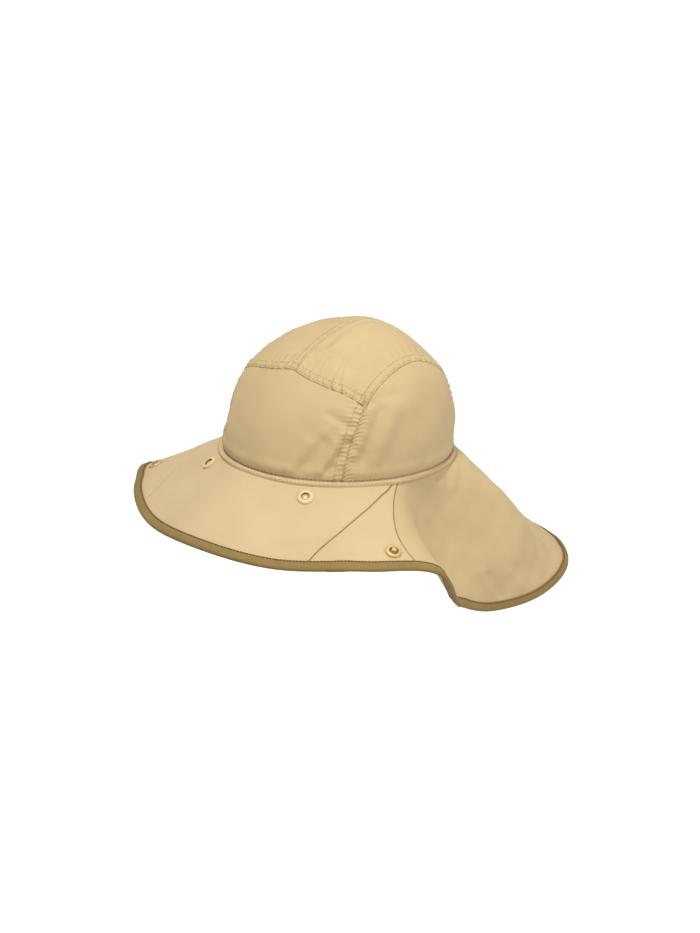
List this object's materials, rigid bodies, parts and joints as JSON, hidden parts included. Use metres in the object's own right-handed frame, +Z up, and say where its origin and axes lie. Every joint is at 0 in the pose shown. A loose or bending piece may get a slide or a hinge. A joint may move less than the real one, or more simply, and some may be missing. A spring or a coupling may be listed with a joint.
{
  "type": "legionnaire cap",
  "caption": "Soft khaki sun hat with a panelled crown, a wide front brim with snap fasteners, and a neck flap that hangs below the rim behind.",
  "frame": {"origin": "middle of the head opening, level with the foot of the crown", "axes": "+Z up through the crown, -Y to the front of the hat, +X to the wearer's left"},
  "size_m": [0.304, 0.4179, 0.223],
  "materials": {
    "crown_cloth": "fine plain weave, matt khaki",
    "brim_cloth": "fine plain weave, matt khaki",
    "flap_cloth": "fine plain weave, matt khaki",
    "binding_tape": "folded tape, olive brown",
    "snap_enamel": "cream enamel, satin",
    "snap_brass": "pale brass, satin"
  },
  "bodies": {
    "root": {"crown_front_panel": "crown_cloth", "crown_top_left": "crown_cloth", "crown_top_right": "crown_cloth", "crown_side_left": "crown_cloth", "crown_side_right": "crown_cloth", "brim_front": "brim_cloth", "brim_gusset_left": "brim_cloth", "brim_gusset_right": "brim_cloth", "neck_flap": "flap_cloth", "edge_binding": "binding_tape", "snap_socket_left": "snap_enamel", "snap_socket_right": "snap_enamel", "snap_stud_left": "snap_brass", "snap_stud_right": "snap_brass"}
  },
  "joints": []
}
